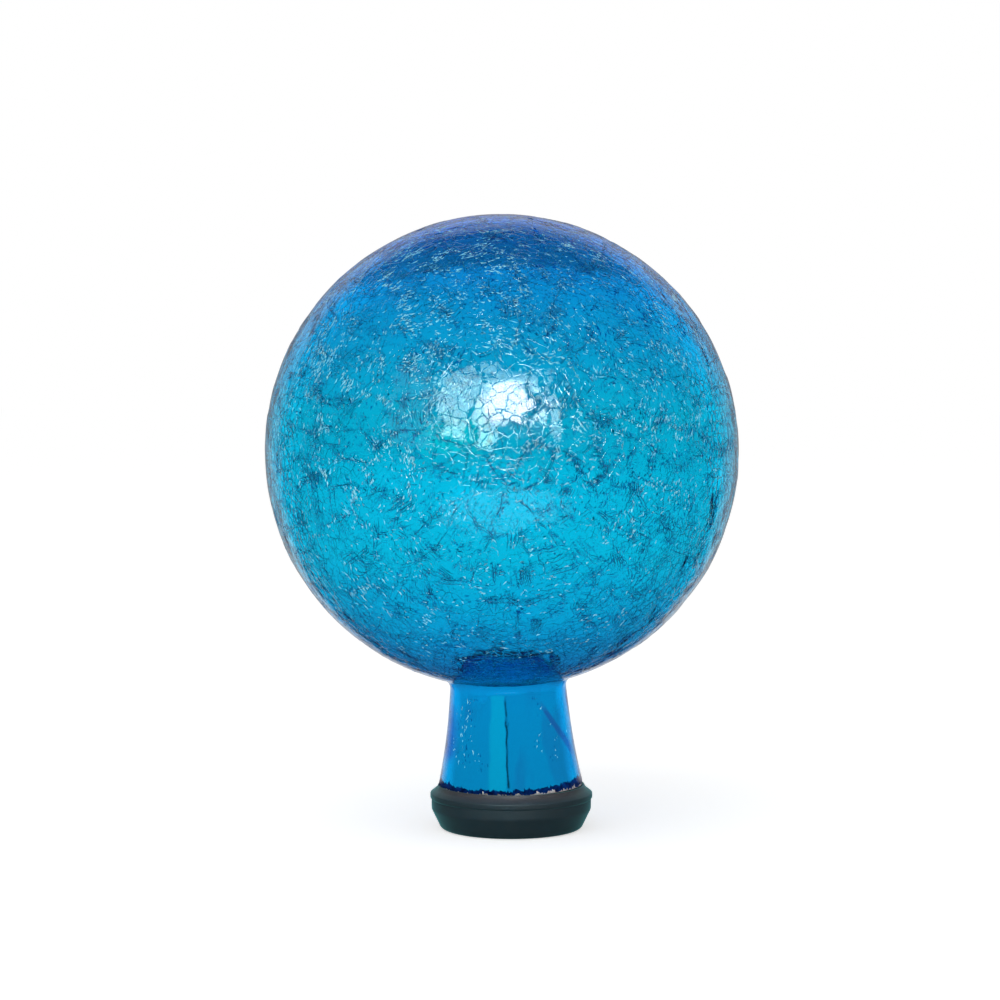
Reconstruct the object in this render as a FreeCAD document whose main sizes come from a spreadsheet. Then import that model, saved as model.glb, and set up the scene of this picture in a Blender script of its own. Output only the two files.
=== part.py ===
import FreeCAD, Part

import math
import os

import Sketcher

# Garden gazing ball: a blown crackle-glass globe whose neck stands in a moulded rubber cap.
# The tint and the silver are coats inside the glass. Lengths are in millimetres, angles in degrees.
# +Z is up, the origin is the centre of the cap's flat foot, and the camera of the photograph looks
# along +Y. The glass stands in its cap with a slight lean towards -X, as it does in the photograph.

SIZES = {
    # Glass: a globe blown in one with its flared neck
    "globe_diameter": 254.0,
    "globe_height": 203.5,
    "glass_wall": 3.0,
    "glass_lean": 1.5,
    "neck_throat_radius": 30.1,
    "neck_end_flare": 8.7,
    "neck_end_straight": 13.9,
    "neck_flare_radius": 390.0,
    "neck_root_radius": 5.0,
    "mouth_polish_share": 0.27,
    # Coats inside the glass, thicker than real paint and silver so that they are solids
    "tint_coat": 0.3,
    "tint_edge": 12.9,
    "silver_coat": 0.3,
    "silver_edge": 17.0,
    # Rubber cap: a stepped socket for the neck, with a thin lip that hugs it
    "seat_height": 11.0,
    "seat_width": 9.1,
    "seat_gap": 0.3,
    "neck_gap": 0.3,
    "socket_depth": 12.6,
    "well_depth": 6.0,
    "cap_wall": 4.1,
    "foot_draw_in": 5.2,
    "foot_round": 3.2,
    "skirt_height": 10.8,
    "skirt_round": 4.0,
    "rim_stand_out": 0.7,
    "rim_drop": 5.6,
    "rim_thickness": 2.4,
    "rim_round": 0.8,
    "collar_drop": 1.7,
    "collar_round": 3.0,
    "collar_wall": 1.3,
    "lip_wall": 0.5,
    # One overrun that takes every cut clear of the solid it cuts
    "cut_overrun": 2.0,
}

# Numbers by which a sketch knows its own axes, and the points of a line or an arc
HORIZONTAL_AXIS, VERTICAL_AXIS = range(-1, -3, -1)
START, END, CENTRE = range(1, 4)
ORIGIN_POINT = (HORIZONTAL_AXIS, START)

doc = FreeCAD.newDocument("gazing_ball")


def make_sheet():
    """Writes the driving sizes to a sheet, one row each, with the name as the cell's alias."""
    sheet = doc.addObject("Spreadsheet::Sheet", "Sizes")
    for row, (name, number) in enumerate(SIZES.items(), start=1):
        sheet.set(f"A{row}", name)
        sheet.set(f"B{row}", str(number))
        sheet.setAlias(f"B{row}", name)
    doc.recompute()
    return sheet


sheet = make_sheet()


def amount(expression):
    """The number that an expression over the sheet gives now."""
    found = sheet.evalExpression(expression)
    return float(getattr(found, "Value", found))


def bind(sketch, kind, *place, expression):
    """Adds a constraint whose value follows an expression over the sheet."""
    index = sketch.addConstraint(Sketcher.Constraint(kind, *place, amount(expression)))
    sketch.setExpression(f"Constraints[{index}]", expression)


def place_point(sketch, geometry, end, across, up):
    """Fixes a point of a sketch by expressions, on the sketch's own axes where they are zero."""
    for kind, zero_axis, expression in (
        ("DistanceX", VERTICAL_AXIS, across),
        ("DistanceY", HORIZONTAL_AXIS, up),
    ):
        if expression == "0":
            sketch.addConstraint(Sketcher.Constraint("PointOnObject", geometry, end, zero_axis))
        else:
            bind(sketch, kind, *ORIGIN_POINT, geometry, end, expression=expression)


def new_body(name):
    body = doc.addObject("PartDesign::Body", name)
    body.Label = name
    return body


def new_sketch(body, name, role="XZ_Plane"):
    """A sketch on one of its body's own origin planes."""
    sketch = body.newObject("Sketcher::SketchObject", name)
    plane = next(item for item in body.Origin.OriginFeatures if item.Role == role)
    sketch.AttachmentSupport = [(plane, "")]
    sketch.MapMode = "FlatFace"
    return sketch


def draw_outline(sketch, corners):
    """Draws a closed outline of straight lines through corners given as pairs of expressions."""
    points = [FreeCAD.Vector(amount(across), amount(up), 0) for across, up in corners]
    for index, point in enumerate(points):
        following = points[(index + 1) % len(points)]
        sketch.addGeometry(Part.LineSegment(point, following), False)
    for index, (across, up) in enumerate(corners):
        before = (index - 1) % len(corners)
        sketch.addConstraint(Sketcher.Constraint("Coincident", before, END, index, START))
        place_point(sketch, index, START, across, up)


def turn(body, kind, name, sketch):
    """Turns a sketch a full circle about its own vertical axis, to add or to cut."""
    feature = body.newObject(kind, name)
    feature.Profile = sketch
    feature.ReferenceAxis = (sketch, ["V_Axis"])
    feature.Angle = 360
    sketch.Visibility = False
    doc.recompute()


def round_rings(body, name, radius, rings):
    """Rounds the level rings whose radii and heights, given as expressions, are the nearest."""
    base = body.Tip
    circles = {
        f"Edge{number}": edge.Curve
        for number, edge in enumerate(base.Shape.Edges, start=1)
        if not edge.Degenerated and isinstance(edge.Curve, Part.Circle)
    }

    def distance(edge, across, up):
        return math.dist((circles[edge].Radius, circles[edge].Center.z), (amount(across), amount(up)))

    fillet = body.newObject("PartDesign::Fillet", name)
    fillet.Base = (base, [min(circles, key=lambda edge: distance(edge, *ring)) for ring in rings])
    fillet.setExpression("Radius", radius)
    doc.recompute()


def meeting_point(first, first_radius, second, second_radius):
    """The lower of the two points that lie at the given distances from two centres."""
    apart = second - first
    along = (first_radius ** 2 - second_radius ** 2 + apart.Length ** 2) / (2 * apart.Length)
    aside = math.sqrt(first_radius ** 2 - along ** 2)
    unit = apart / apart.Length
    normal = FreeCAD.Vector(-unit.y, unit.x, 0)
    meetings = [first + unit * along + normal * side for side in (aside, -aside)]
    return min(meetings, key=lambda point: point.y)


def arc(centre, radius, start, end):
    """The arc about a centre that runs anticlockwise from one point to another."""
    angles = [math.atan2(point.y - centre.y, point.x - centre.x) for point in (start, end)]
    circle = Part.Circle(centre, FreeCAD.Vector(0, 0, 1), radius)
    return Part.ArcOfCircle(circle, *angles)


# Radii and places that several pieces share. Along the glass they are measured on its own axis,
# which starts at the centre of the neck's mouth.
NECK_END = "(Sizes.neck_throat_radius + Sizes.neck_end_flare)"
MOUTH_HEIGHT = "(Sizes.seat_height + Sizes.seat_gap)"
GLOBE_CENTRE = f"((Sizes.globe_height - {MOUTH_HEIGHT}) / cos(Sizes.glass_lean))"
FLARE_ACROSS = "(Sizes.neck_throat_radius + Sizes.neck_flare_radius)"
FLARE_UP = (
    "(Sizes.neck_end_straight + sqrt(pow(Sizes.neck_flare_radius; 2)"
    f" - pow({FLARE_ACROSS} - {NECK_END}; 2)))"
)


def draw_bulb(sketch, inset, foot):
    """Draws half of the globe and neck, set in by inset from the glass's outer face, from foot up."""
    depth = amount(inset)
    globe_radius = amount("Sizes.globe_diameter / 2") - depth
    flare_radius = amount("Sizes.neck_flare_radius") + depth
    root_radius = amount("Sizes.neck_root_radius") + depth
    end_radius = amount(NECK_END) - depth
    globe_centre = FreeCAD.Vector(0, amount(GLOBE_CENTRE), 0)
    flare_centre = FreeCAD.Vector(amount(FLARE_ACROSS), amount(FLARE_UP), 0)
    root_centre = meeting_point(
        globe_centre, globe_radius + root_radius, flare_centre, flare_radius - root_radius
    )

    # The flare starts where its circle crosses the straight end of the neck
    drop = math.sqrt(flare_radius ** 2 - (flare_centre.x - end_radius) ** 2)
    foot_axis = FreeCAD.Vector(0, amount(foot), 0)
    foot_wall = FreeCAD.Vector(end_radius, amount(foot), 0)
    flare_start = FreeCAD.Vector(end_radius, flare_centre.y - drop, 0)
    flare_end = flare_centre + (root_centre - flare_centre).normalize() * flare_radius
    root_end = globe_centre + (root_centre - globe_centre).normalize() * globe_radius
    top = globe_centre + FreeCAD.Vector(0, globe_radius, 0)

    foot_line, wall_line, flare, root, globe, axis_line = range(6)
    sketch.addGeometry(
        [
            Part.LineSegment(foot_axis, foot_wall),
            Part.LineSegment(foot_wall, flare_start),
            arc(flare_centre, flare_radius, flare_end, flare_start),
            arc(root_centre, root_radius, root_end, flare_end),
            arc(globe_centre, globe_radius, root_end, top),
            Part.LineSegment(top, foot_axis),
        ],
        False,
    )
    for link in (
        (foot_line, END, wall_line, START),
        (wall_line, END, flare, END),
        (globe, END, axis_line, START),
        (axis_line, END, foot_line, START),
    ):
        sketch.addConstraint(Sketcher.Constraint("Coincident", *link))
    # Smooth joins: an end-to-end tangent also holds the two ends together
    sketch.addConstraint(Sketcher.Constraint("Tangent", flare, START, root, END))
    sketch.addConstraint(Sketcher.Constraint("Tangent", root, START, globe, START))
    sketch.addConstraint(Sketcher.Constraint("Vertical", wall_line))
    sketch.addConstraint(Sketcher.Constraint("PointOnObject", axis_line, START, VERTICAL_AXIS))
    place_point(sketch, foot_line, START, "0", foot)
    place_point(sketch, foot_line, END, f"{NECK_END} - {inset}", foot)
    place_point(sketch, flare, CENTRE, FLARE_ACROSS, FLARE_UP)
    place_point(sketch, globe, CENTRE, "0", GLOBE_CENTRE)
    bind(sketch, "Radius", flare, expression=f"Sizes.neck_flare_radius + {inset}")
    bind(sketch, "Radius", root, expression=f"Sizes.neck_root_radius + {inset}")
    bind(sketch, "Radius", globe, expression=f"Sizes.globe_diameter / 2 - {inset}")


def lean_about_mouth(body):
    """Stands a body of the glass on its seat, leaning towards -X with the neck's mouth as pivot."""
    body.Placement.Rotation = FreeCAD.Rotation(FreeCAD.Vector(0, -1, 0), amount("Sizes.glass_lean"))
    body.setExpression("Placement.Rotation.Angle", "Sizes.glass_lean")
    body.setExpression("Placement.Base.z", MOUTH_HEIGHT)


def make_shell(name, outer_inset, inner_inset):
    """A hollow copy of the globe and neck between two depths in the glass, open at the mouth."""
    body = new_body(name)
    outside = new_sketch(body, f"{name}_outside")
    draw_bulb(outside, outer_inset, "0")
    turn(body, "PartDesign::Revolution", f"{name}_blank", outside)
    inside = new_sketch(body, f"{name}_inside")
    draw_bulb(inside, inner_inset, "-Sizes.cut_overrun")
    turn(body, "PartDesign::Groove", f"{name}_hollow", inside)
    lean_about_mouth(body)
    return body


def trim_mouth(body, edge_size):
    """Cuts a coat back from the neck's mouth, up to where its lower edge lies."""
    uncut = body.Tip.Shape.Volume
    sketch = new_sketch(body, f"{body.Name}_edge", "XY_Plane")
    circle = Part.Circle(FreeCAD.Vector(0, 0, 0), FreeCAD.Vector(0, 0, 1), amount(NECK_END))
    ring = sketch.addGeometry(circle, False)
    sketch.addConstraint(Sketcher.Constraint("Coincident", ring, CENTRE, *ORIGIN_POINT))
    bind(sketch, "Radius", ring, expression=NECK_END)
    pocket = body.newObject("PartDesign::Pocket", f"{body.Name}_trim")
    pocket.Profile = sketch
    pocket.Reversed = True
    pocket.setExpression("Length", f"Sizes.{edge_size}")
    sketch.Visibility = False
    doc.recompute()
    if not pocket.Shape.Volume < uncut:
        raise RuntimeError(f"{body.Name}: the trim at the mouth cut nothing")


def make_glass():
    """The globe and neck, with the cut end of the neck polished smooth inside the cap."""
    body = make_shell("glass_globe", "0", "Sizes.glass_wall")
    mouth_rings = [(NECK_END, "0"), (f"{NECK_END} - Sizes.glass_wall", "0")]
    round_rings(body, "glass_mouth", "Sizes.glass_wall * Sizes.mouth_polish_share", mouth_rings)
    return body


def make_tint():
    """The clear blue lacquer on the inner face of the glass."""
    body = make_shell("tint_lacquer", "Sizes.glass_wall", "(Sizes.glass_wall + Sizes.tint_coat)")
    trim_mouth(body, "tint_edge")
    return body


def make_silver():
    """The silver film behind the lacquer, which stops a little higher in the neck."""
    depth = "(Sizes.glass_wall + Sizes.tint_coat)"
    body = make_shell("silver_lining", depth, "(Sizes.glass_wall + Sizes.tint_coat + Sizes.silver_coat)")
    trim_mouth(body, "silver_edge")
    return body


def make_cap():
    """The rubber cap: a flat foot, a flared skirt, a thin rim and a collar that narrows to the neck."""
    body = new_body("rubber_cap")
    bore = f"({NECK_END} + Sizes.neck_gap)"
    skirt_radius = f"({bore} + Sizes.cap_wall)"
    rim_radius = f"({skirt_radius} + Sizes.rim_stand_out)"
    lip_height = "(Sizes.seat_height + Sizes.socket_depth)"
    rim_low = f"({lip_height} - Sizes.rim_drop - Sizes.rim_thickness / 2)"
    rim_high = f"({lip_height} - Sizes.rim_drop + Sizes.rim_thickness / 2)"
    foot = (f"{skirt_radius} - Sizes.foot_draw_in", "0")
    skirt_foot = (skirt_radius, "Sizes.skirt_height")
    skirt_top = (skirt_radius, f"{rim_low} - Sizes.rim_stand_out")
    rim_corners = [(rim_radius, rim_low), (rim_radius, rim_high)]
    collar = (f"{bore} + Sizes.collar_wall", f"{lip_height} - Sizes.collar_drop")
    lip = (f"{bore} + Sizes.lip_wall", lip_height)
    outside = new_sketch(body, "cap_outside")
    draw_outline(
        outside, [("0", "0"), foot, skirt_foot, skirt_top, *rim_corners, collar, lip, ("0", lip_height)]
    )
    turn(body, "PartDesign::Revolution", "cap_blank", outside)
    round_rings(body, "cap_foot", "Sizes.foot_round", [foot])
    round_rings(body, "cap_skirt", "Sizes.skirt_round", [skirt_foot])
    round_rings(body, "cap_rim", "Sizes.rim_round", rim_corners)
    round_rings(body, "cap_collar", "Sizes.collar_round", [collar])

    # The socket leans with the glass, so that the gap round the neck is even
    solid = body.Tip.Shape.Volume
    socket = new_sketch(body, "cap_socket")
    socket.AttachmentOffset = FreeCAD.Placement(
        FreeCAD.Vector(0, amount("Sizes.seat_height"), 0),
        FreeCAD.Rotation(FreeCAD.Vector(0, 0, 1), amount("Sizes.glass_lean")),
    )
    socket.setExpression("AttachmentOffset.Base.y", "Sizes.seat_height")
    socket.setExpression("AttachmentOffset.Rotation.Angle", "Sizes.glass_lean")
    well_radius = f"({bore} - Sizes.seat_width)"
    well_floor = "-Sizes.well_depth"
    socket_top = "(Sizes.socket_depth + Sizes.cut_overrun)"
    well = [("0", well_floor), (well_radius, well_floor), (well_radius, "0")]
    draw_outline(socket, [*well, (bore, "0"), (bore, socket_top), ("0", socket_top)])
    turn(body, "PartDesign::Groove", "cap_hollow", socket)
    if not body.Tip.Shape.Volume < solid:
        raise RuntimeError("rubber_cap: the socket cut nothing")
    return body


def check(bodies):
    """Stops before anything is written if an object failed or a shape is not one sound solid."""
    for item in doc.Objects:
        if "Invalid" in item.State or "Error" in item.State:
            raise RuntimeError(f"{item.Label} failed: {item.State}")
    for body in bodies:
        shape = body.Shape
        if shape.isNull() or not shape.isValid() or len(shape.Solids) != 1:
            raise RuntimeError(f"{body.Label} is not one sound solid")


def write(bodies):
    os.makedirs("parts", exist_ok=True)
    for body in bodies:
        body.Shape.exportStep(f"parts/{body.Label}.step")
        box = body.Shape.optimalBoundingBox()
        print(
            f"{body.Label}: {body.Shape.Volume / 1000:.2f} cm3,"
            f" X {box.XMin:.2f} to {box.XMax:.2f}, Z {box.ZMin:.2f} to {box.ZMax:.2f}"
        )


pieces = [make_glass(), make_tint(), make_silver(), make_cap()]
doc.recompute()
check(pieces)
write(pieces)
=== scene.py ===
import math

import bmesh
import bpy
import numpy as np
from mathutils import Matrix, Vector


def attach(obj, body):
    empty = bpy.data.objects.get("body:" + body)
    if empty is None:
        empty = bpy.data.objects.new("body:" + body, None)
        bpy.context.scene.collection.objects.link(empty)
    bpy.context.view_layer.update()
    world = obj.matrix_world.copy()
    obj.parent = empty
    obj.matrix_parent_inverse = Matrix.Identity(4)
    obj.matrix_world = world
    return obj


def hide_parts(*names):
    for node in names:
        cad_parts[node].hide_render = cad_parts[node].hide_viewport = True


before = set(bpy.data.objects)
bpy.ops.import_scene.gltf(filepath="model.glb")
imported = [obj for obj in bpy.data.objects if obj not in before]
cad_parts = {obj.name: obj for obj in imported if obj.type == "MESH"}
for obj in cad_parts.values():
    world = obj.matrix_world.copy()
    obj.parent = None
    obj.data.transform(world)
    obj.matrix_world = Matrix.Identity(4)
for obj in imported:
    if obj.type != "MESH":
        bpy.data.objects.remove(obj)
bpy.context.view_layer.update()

MM = 0.001
RNG = np.random.default_rng(7)

# Glass: places along its own axis are measured from the centre of the neck's mouth
LEAN = math.radians(1.5)
MOUTH = Vector((0, 0, 11.3 * MM))
GLOBE_RADIUS = 127.0 * MM
GLOBE_UP = 192.27 * MM
NECK_END_RADIUS = 38.8 * MM
NECK_STRAIGHT = 13.9 * MM
FLARE_RADIUS = 390.0 * MM
FLARE_ACROSS = 420.1 * MM
ROOT_RADIUS = 5.0 * MM
ROOT_UP = 71.5 * MM
WALL = 3.0 * MM
UP = Vector((-math.sin(LEAN), 0, math.cos(LEAN)))
ACROSS = Vector((math.cos(LEAN), 0, math.sin(LEAN)))
THROUGH = Vector((0, 1, 0))
GLOBE_CENTRE = MOUTH + UP * GLOBE_UP
AXIS, CENTRE = np.array(UP), np.array(GLOBE_CENTRE)

# Coats on the inside of the glass, and where their lower edges lie
FLECK_INSET = WALL - 0.25 * MM
BAND_INSET = WALL - 0.15 * MM
TINT_INSET = WALL - 0.05 * MM
SILVER_INSET = WALL + 0.35 * MM
BAND_FOOT = 11.5 * MM
TINT_FOOT = 13.0 * MM
SILVER_FOOT = 17.0 * MM
BAND_AROUND = 1440

# Heights over the floor of which the materials take shares
WHOLE_HEIGHT = 340.0 * MM
CAP_HEIGHT = 23.6 * MM

# A map of the glass's faces: a column for the outer faces and one for the inner
MAP_MARGIN = 0.02
MAP_OUTER_WIDTH = 0.72
MAP_INNER_START = 0.78
MAP_INNER_WIDTH = 0.20
MAP_ROOT_POLAR = math.radians(16)

WHITE = (1, 1, 1, 1)
TINY = 1e-9


def unit(vectors):
    return vectors / np.linalg.norm(vectors, axis=-1, keepdims=True)


def eased(values):
    """A smooth step from 0 to 1."""
    values = np.clip(values, 0, 1)
    return values * values * (3 - 2 * values)


def outline(inset, foot, count):
    """Points (radius, height) of the glass's outline, set in by inset, nearer together where it bends."""
    globe, flare, root = GLOBE_RADIUS - inset, FLARE_RADIUS + inset, ROOT_RADIUS + inset
    end = NECK_END_RADIUS - inset
    flare_up = NECK_STRAIGHT + math.sqrt(FLARE_RADIUS ** 2 - (FLARE_ACROSS - NECK_END_RADIUS) ** 2)
    flare_centre = np.array([FLARE_ACROSS, flare_up])
    globe_centre = np.array([0, GLOBE_UP])
    apart = flare_centre - globe_centre
    length = np.linalg.norm(apart)
    reach, other = globe + root, flare - root
    along = (reach ** 2 - other ** 2 + length ** 2) / (2 * length)
    aside = math.sqrt(reach ** 2 - along ** 2)
    ahead = apart / length
    sides = [globe_centre + ahead * along + np.array([-ahead[1], ahead[0]]) * s for s in (aside, -aside)]
    root_centre = min(sides, key=lambda point: point[1])
    flare_low = flare_up - math.sqrt(flare ** 2 - (FLARE_ACROSS - end) ** 2)

    def arc(centre, radius, start, stop, steps):
        angles = np.linspace(start, stop, steps)
        return centre + radius * np.stack([np.cos(angles), np.sin(angles)], axis=1)

    def angle(point, centre):
        return math.atan2(point[1] - centre[1], point[0] - centre[0])

    low = np.array([end, flare_low])
    knee = flare_centre + (root_centre - flare_centre) / other * flare
    shoulder = globe_centre + (root_centre - globe_centre) / reach * globe
    full = 2 * math.pi
    runs = [
        np.stack([np.full(60, end), np.linspace(foot, flare_low, 60)], axis=1),
        arc(flare_centre, flare, angle(low, flare_centre) % full, angle(knee, flare_centre) % full, 200),
        arc(root_centre, root, angle(knee, root_centre) % full, angle(shoulder, root_centre) % full, 60),
        arc(globe_centre, globe, angle(shoulder, globe_centre), math.pi / 2, 1200),
    ]
    line = np.concatenate([runs[0]] + [run[1:] for run in runs[1:]])
    radii = (FLARE_RADIUS, flare, root, globe)
    closeness = np.concatenate([np.full(len(run) - 1, radius ** -0.5) for run, radius in zip(runs, radii)])
    steps = np.linalg.norm(np.diff(line, axis=0), axis=1) * closeness
    distance = np.concatenate([[0], np.cumsum(steps)])
    even = np.linspace(0, distance[-1], count)
    return np.stack([np.interp(even, distance, line[:, i]) for i in (0, 1)], axis=1)


# Lumps and cells of the glass. The cells lie in a wandering space, so that no edge is straight
def plane_waves(count, shortest, longest):
    """Random wave vectors, for places in metres, and their phases."""
    lengths = np.exp(RNG.uniform(math.log(shortest), math.log(longest), (count, 1)))
    return unit(RNG.normal(size=(count, 3))) * 2 * math.pi / lengths, RNG.uniform(0, 2 * math.pi, count)


WANDER = [
    (*plane_waves(6, wave * 0.8 * MM, wave * 1.2 * MM), RNG.normal(size=(6, 3)) * reach * MM / math.sqrt(6))
    for wave, reach in ((40, 2.2), (18, 1.2), (8, 0.5), (4, 0.2))
]
SWELL_WAVES, SWELL_PHASES = plane_waves(30, 16 * MM, 55 * MM)
SWELL_SLOPE = 0.013
NECK_SWELL = 0.5
CELLS_WANTED = 800
CELL_TILT = 0.014
EDGE_FADE = 1.3 * MM
EDGE_GROOVE = 0.04 * MM
EDGE_REACH = 0.8 * MM
SHARE_RUN = 18.0 * MM
CHUNK = 20000


def wander(directions):
    places = directions * GLOBE_RADIUS
    return sum(np.sin(places @ waves.T + phases) @ reach for waves, phases, reach in WANDER) / GLOBE_RADIUS


def straightened(directions):
    return unit(directions + wander(directions))


def wandering(directions):
    """The directions whose straightened ones are these."""
    found = directions
    for _ in range(8):
        found = unit(directions - wander(found))
    return found


def swell(places):
    """Slow lumps of the blown wall, in metres, at places measured from the globe's centre."""
    size = np.linalg.norm(SWELL_WAVES, axis=1)
    heights = SWELL_SLOPE * math.sqrt(2 / len(size)) / size
    return np.sin(places @ SWELL_WAVES.T + SWELL_PHASES) @ heights


def scatter(count, tries):
    """Directions spread over the sphere, each the loneliest of a few tries."""
    points = unit(RNG.normal(size=(1, 3)))
    while len(points) < count:
        found = unit(RNG.normal(size=(tries, 3)))
        nearest = (found @ points.T).max(axis=1)
        points = np.vstack([points, found[nearest.argmin()]])
    return points


CELLS = scatter(CELLS_WANTED, 3)
TILTS = RNG.normal(size=(CELLS_WANTED, 3)) * CELL_TILT


def cell_of(directions):
    """For each straightened direction: its cell, the nearest other one, and how far the edge is."""
    near, next_near, apart = [], [], []
    for part in np.array_split(directions, max(1, len(directions) // CHUNK)):
        dots = part @ CELLS.T
        rows = np.arange(len(part))
        first = dots.argmax(axis=1)
        dots[rows, first] = -2
        second = dots.argmax(axis=1)
        across = unit(CELLS[first] - CELLS[second])
        near.append(first)
        next_near.append(across)
        apart.append((part * across).sum(axis=1) * GLOBE_RADIUS)
    return np.concatenate(near), np.concatenate(next_near), np.concatenate(apart)


def lumps(directions):
    """How far the crackled glass stands out at directions from the globe's centre."""
    straight = straightened(directions)
    cell, _, edge = cell_of(straight)
    fade = eased(edge / EDGE_FADE)
    tilt = ((straight - CELLS[cell]) * TILTS[cell]).sum(axis=1) * GLOBE_RADIUS
    return swell(directions * GLOBE_RADIUS) + fade * tilt - (1 - fade) * EDGE_GROOVE


def globe_share(height):
    """0 on the neck and 1 on the globe, by height along the glass's axis."""
    return eased((height - ROOT_UP) / SHARE_RUN)


def swollen(points):
    """Points of a surface inside the glass, moved with the slow lumps of the wall."""
    from_centre = points - CENTRE
    up = from_centre @ AXIS
    beside = unit(from_centre - AXIS * up[:, None] + TINY)
    share = globe_share(up + GLOBE_UP)[:, None]
    moves = unit(from_centre) * share + beside * (1 - share) * NECK_SWELL
    return points + moves * swell(from_centre)[:, None]


def glass_points(directions, proud):
    """Places on the globe's outer surface, or proud of it."""
    return CENTRE + directions * (GLOBE_RADIUS + lumps(directions) + proud)[:, None]


# Meshes
def map_glass(mesh, points, inside_from):
    """Lays a map by turn about the glass's axis and way up its outline, the inner faces beside the outer."""
    from_centre = points - CENTRE
    right, through, up = (from_centre @ np.array(axis) for axis in (ACROSS, THROUGH, UP))
    turn = np.arctan2(through, right) / (2 * math.pi) + 0.5
    polar = np.arctan2(np.hypot(right, through), -up)
    on_globe = ROOT_UP + GLOBE_RADIUS * np.maximum(polar - MAP_ROOT_POLAR, 0)
    way = np.where(up + GLOBE_UP < ROOT_UP, up + GLOBE_UP, on_globe)
    way /= ROOT_UP + GLOBE_RADIUS * (math.pi - MAP_ROOT_POLAR)
    corners = np.empty(len(mesh.loops), int)
    starts, sizes = np.empty((2, len(mesh.polygons)), int)
    mesh.loops.foreach_get("vertex_index", corners)
    mesh.polygons.foreach_get("loop_start", starts)
    mesh.polygons.foreach_get("loop_total", sizes)
    first = np.repeat(turn[corners[starts]], sizes)
    across = turn[corners] - np.round(turn[corners] - first)
    inside = np.repeat(np.arange(len(starts)) >= inside_from, sizes)
    start, width = np.where(inside, [[MAP_INNER_START], [MAP_INNER_WIDTH]], [[MAP_MARGIN], [MAP_OUTER_WIDTH]])
    maps = np.stack([start + width * across, MAP_MARGIN + (1 - 2 * MAP_MARGIN) * way[corners]], axis=1)
    mesh.uv_layers.new(name="OFBake").uv.foreach_set("vector", maps.astype(np.float32).ravel())


def add_piece(name, points, faces, material, smooth=False, inside_from=math.inf):
    """A piece of the glass and its coats, which all ride on the globe's body."""
    mesh = bpy.data.meshes.new(name)
    mesh.from_pydata(np.asarray(points).tolist(), [], faces)
    mesh.polygons.foreach_set("use_smooth", [smooth] * len(mesh.polygons))
    map_glass(mesh, np.asarray(points), inside_from)
    mesh.materials.append(material)
    piece = bpy.data.objects.new(name, mesh)
    bpy.context.scene.collection.objects.link(piece)
    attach(piece, "globe")
    return piece


def rings_about(rows, around):
    """Points (rows, around, 3) of an outline turned about the glass's axis."""
    angles = np.linspace(0, 2 * math.pi, around, endpoint=False)
    radial = np.outer(np.cos(angles), ACROSS) + np.outer(np.sin(angles), THROUGH)
    return np.array(MOUTH) + rows[:, None, 1:2] * AXIS + rows[:, None, 0:1] * radial[None]


def bands_of(rings, around, start=0):
    """Faces between rings of points numbered from start."""
    faces = []
    for row in range(rings - 1):
        low = start + row * around
        for i in range(around):
            j = (i + 1) % around
            faces.append((low + i, low + j, low + around + j, low + around + i))
    return faces


def dome(rings, around, start=0):
    """Faces between rings of points numbered from start, closed by a tip after the last ring."""
    last = start + (rings - 1) * around
    tip = [(last + i, last + (i + 1) % around, last + around) for i in range(around)]
    return bands_of(rings, around, start) + tip


def glass_shell(name, material):
    """The blown glass: a crackled outer surface, a plain inner one, and the cut end between them."""
    outer_around, inner_around = 400, 100
    outer_rows, inner_rows = outline(0, 0, 216), outline(WALL, 0, 130)
    outer = rings_about(outer_rows[:-1], outer_around).reshape(-1, 3)
    height = np.repeat(outer_rows[:-1, 1], outer_around)
    share = globe_share(height)
    from_centre = outer - CENTRE
    directions = unit(from_centre)
    # Near a cell's edge a point moves onto it, so that the edge stays sharp
    _, across, edge = cell_of(straightened(directions))
    onto = np.where((edge < EDGE_REACH) & (share > 0.99), edge, 0) / GLOBE_RADIUS
    moved = unit(directions - across * onto[:, None])
    proud = lumps(moved)
    neck_swell = swell(from_centre) * NECK_SWELL
    away = unit(from_centre - AXIS * (from_centre @ AXIS)[:, None])
    on_globe = CENTRE + moved * (np.linalg.norm(from_centre, axis=1) + proud)[:, None]
    on_neck = outer + away * neck_swell[:, None]
    outer = on_neck + (on_globe - on_neck) * share[:, None]
    tip = glass_points(np.array([UP]), np.zeros(1))
    inner = swollen(rings_about(inner_rows[:-1], inner_around).reshape(-1, 3))
    inner_tip = swollen(np.array([MOUTH + UP * inner_rows[-1, 1]]))
    faces = dome(len(outer_rows) - 1, outer_around)
    outside = len(faces)
    start = len(outer) + 1
    faces += [face[::-1] for face in dome(len(inner_rows) - 1, inner_around, start)]
    step = outer_around // inner_around
    for i in range(inner_around):
        rim = [(i * step + k) % outer_around for k in range(step, -1, -1)]
        faces.append((*rim, start + i, start + (i + 1) % inner_around))
    points = np.vstack([outer, tip, inner, inner_tip])
    return add_piece(name, points, faces, material, True, outside)


def coat(name, material, inset, foot, around, rows):
    """A coat on the glass's inside, from foot to the top of the globe."""
    line = outline(inset, 0, 1500)
    line = line[line[:, 1] >= foot]
    picked = line[np.linspace(0, len(line) - 1, rows).astype(int)]
    points = np.vstack([rings_about(picked[:-1], around).reshape(-1, 3), MOUTH + UP * picked[-1, 1]])
    return add_piece(name, swollen(points), dome(rows - 1, around), material, True)


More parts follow.
